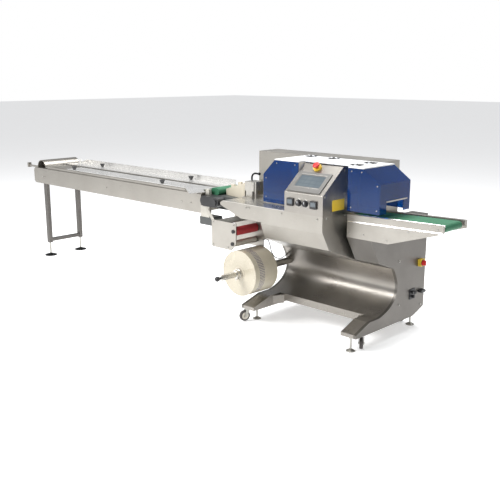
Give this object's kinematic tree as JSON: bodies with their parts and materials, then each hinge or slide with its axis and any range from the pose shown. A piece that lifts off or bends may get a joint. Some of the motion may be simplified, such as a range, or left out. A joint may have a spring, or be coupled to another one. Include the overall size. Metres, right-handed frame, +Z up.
{
  "type": "horizontal flow wrapper",
  "caption": "Horizontal flow wrapper: long infeed conveyor, folding box, film unit, hinged blue guards, sloping control head and discharge belt on a cabinet base.",
  "frame": {"origin": "bottom centre of the whole machine, on the floor", "axes": "+X along the product flow from infeed to discharge, -Y to the operator side, +Z up"},
  "size_m": [4.249, 1.029, 1.104],
  "materials": {
    "stainless": "brushed",
    "slide_plates": "satin",
    "white_cover": "satin",
    "blue_guard": "glossy",
    "black_plastic": "satin",
    "screen": "glossy",
    "yellow_plastic": "satin",
    "red_plastic": "satin",
    "dark_paint": "satin",
    "pale_casting": "cast",
    "green_belt": "matt",
    "chain": "oiled",
    "former_paint": "satin",
    "red_rubber": "satin",
    "pale_roller": "satin",
    "film": "wound film",
    "feet": "zinc plated",
    "caster_tread": "matt",
    "cable": "matt"
  },
  "bodies": {
    "machine": {"pedestal": "stainless", "end_plates": "stainless", "foot_beams": "stainless", "upper_body": "stainless", "rear_body": "stainless", "bed": "stainless", "bed_top_plate": "stainless", "control_head": "stainless", "touch_screen": "screen", "head_buttons": "black_plastic", "stop_ring": "yellow_plastic", "rear_cabinet": "stainless", "top_cover": "white_cover", "guard_hinges": "black_plastic", "end_seal_unit": "stainless", "infeed_side_panels": "stainless", "infeed_frame": "stainless", "infeed_plates": "slide_plates", "flared_plate": "slide_plates", "guide_board": "stainless", "infeed_knobs": "black_plastic", "pusher_chain": "chain", "tail_hood": "stainless", "leg_frame": "stainless", "transfer_frame": "dark_paint", "transfer_housing": "black_plastic", "transfer_roller": "green_belt", "transfer_bracket": "pale_casting", "drive_box": "dark_paint", "former": "former_paint", "fin_seal_unit": "stainless", "film_bracket": "stainless", "spindle_housing": "stainless", "discharge_sides": "stainless", "discharge_belt": "green_belt", "isolator_box": "yellow_plastic", "outlet_fitting": "black_plastic", "levelling_feet": "feet", "sensor_cable": "cable", "cable_glands": "feet"},
    "left_guard": {"left_guard_top": "white_cover", "left_guard_panel": "blue_guard"},
    "right_guard": {"right_guard_top": "white_cover", "right_guard_panel": "blue_guard"},
    "film_roll": {"film_roll": "film", "roll_spindle": "stainless", "spindle_knob": "black_plastic"},
    "red_roller": {"red_roller": "red_rubber"},
    "guide_roller": {"guide_roller": "pale_roller"},
    "isolator_knob": {"isolator_knob": "red_plastic"},
    "stop_button": {"stop_button": "red_plastic"},
    "front_left_fork": {"front_left_fork": "feet"},
    "front_left_wheel": {"front_left_wheel": "caster_tread"},
    "front_right_fork": {"front_right_fork": "feet"},
    "front_right_wheel": {"front_right_wheel": "caster_tread"},
    "rear_left_fork": {"rear_left_fork": "feet"},
    "rear_left_wheel": {"rear_left_wheel": "caster_tread"},
    "rear_right_fork": {"rear_right_fork": "feet"},
    "rear_right_wheel": {"rear_right_wheel": "caster_tread"}
  },
  "joints": [
    {"name": "left_guard_hinge", "type": "hinge", "parent": "machine", "child": "left_guard", "pos_m": [1.1075, 0.1045, 1.1], "axis": [-1, 0, 0], "range_deg": [0, 75]},
    {"name": "right_guard_hinge", "type": "hinge", "parent": "machine", "child": "right_guard", "pos_m": [1.5115, -0.0105, 1.1], "axis": [0, -1, 0], "range_deg": [0, 90]},
    {"name": "film_roll_spin", "type": "hinge", "parent": "machine", "child": "film_roll", "pos_m": [0.7555, -0.2055, 0.341], "axis": [0, 1, 0], "continuous": true},
    {"name": "red_roller_spin", "type": "hinge", "parent": "machine", "child": "red_roller", "pos_m": [0.7025, -0.1895, 0.612], "axis": [0, 1, 0], "continuous": true},
    {"name": "guide_roller_spin", "type": "hinge", "parent": "machine", "child": "guide_roller", "pos_m": [0.6945, -0.1895, 0.528], "axis": [0, 1, 0], "continuous": true},
    {"name": "isolator_turn", "type": "hinge", "parent": "machine", "child": "isolator_knob", "pos_m": [1.6685, 0.4465, 0.439], "axis": [-1, 0, 0], "range_deg": [0, 90]},
    {"name": "stop_press", "type": "slide", "parent": "machine", "child": "stop_button", "axis": [0, 0.6382, -0.7699], "range_m": [0, 0.005], "stiffness_N_per_m": 500, "springref_m": -0.002},
    {"name": "front_left_swivel", "type": "hinge", "parent": "machine", "child": "front_left_fork", "pos_m": [0.7625, -0.2285, 0.09], "axis": [0, 0, 1], "continuous": true},
    {"name": "front_left_roll", "type": "hinge", "parent": "front_left_fork", "child": "front_left_wheel", "pos_m": [0.75498, -0.24917, 0.04], "axis": [0.9397, -0.342, 0], "continuous": true},
    {"name": "front_right_swivel", "type": "hinge", "parent": "machine", "child": "front_right_fork", "pos_m": [1.6125, -0.1165, 0.09], "axis": [0, 0, 1], "continuous": true},
    {"name": "front_right_roll", "type": "hinge", "parent": "front_right_fork", "child": "front_right_wheel", "pos_m": [1.62543, -0.1343, 0.04], "axis": [0.809, 0.5878, 0], "continuous": true},
    {"name": "rear_left_swivel", "type": "hinge", "parent": "machine", "child": "rear_left_fork", "pos_m": [0.8705, 0.4445, 0.116], "axis": [0, 0, 1], "continuous": true},
    {"name": "rear_left_roll", "type": "hinge", "parent": "rear_left_fork", "child": "rear_left_wheel", "pos_m": [0.86668, 0.46617, 0.04], "axis": [-0.9848, -0.1736, 0], "continuous": true},
    {"name": "rear_right_swivel", "type": "hinge", "parent": "machine", "child": "rear_right_fork", "pos_m": [1.5085, 0.4445, 0.116], "axis": [0, 0, 1], "continuous": true},
    {"name": "rear_right_roll", "type": "hinge", "parent": "rear_right_fork", "child": "rear_right_wheel", "pos_m": [1.51232, 0.46617, 0.04], "axis": [-0.9848, 0.1736, 0], "continuous": true}
  ]
}
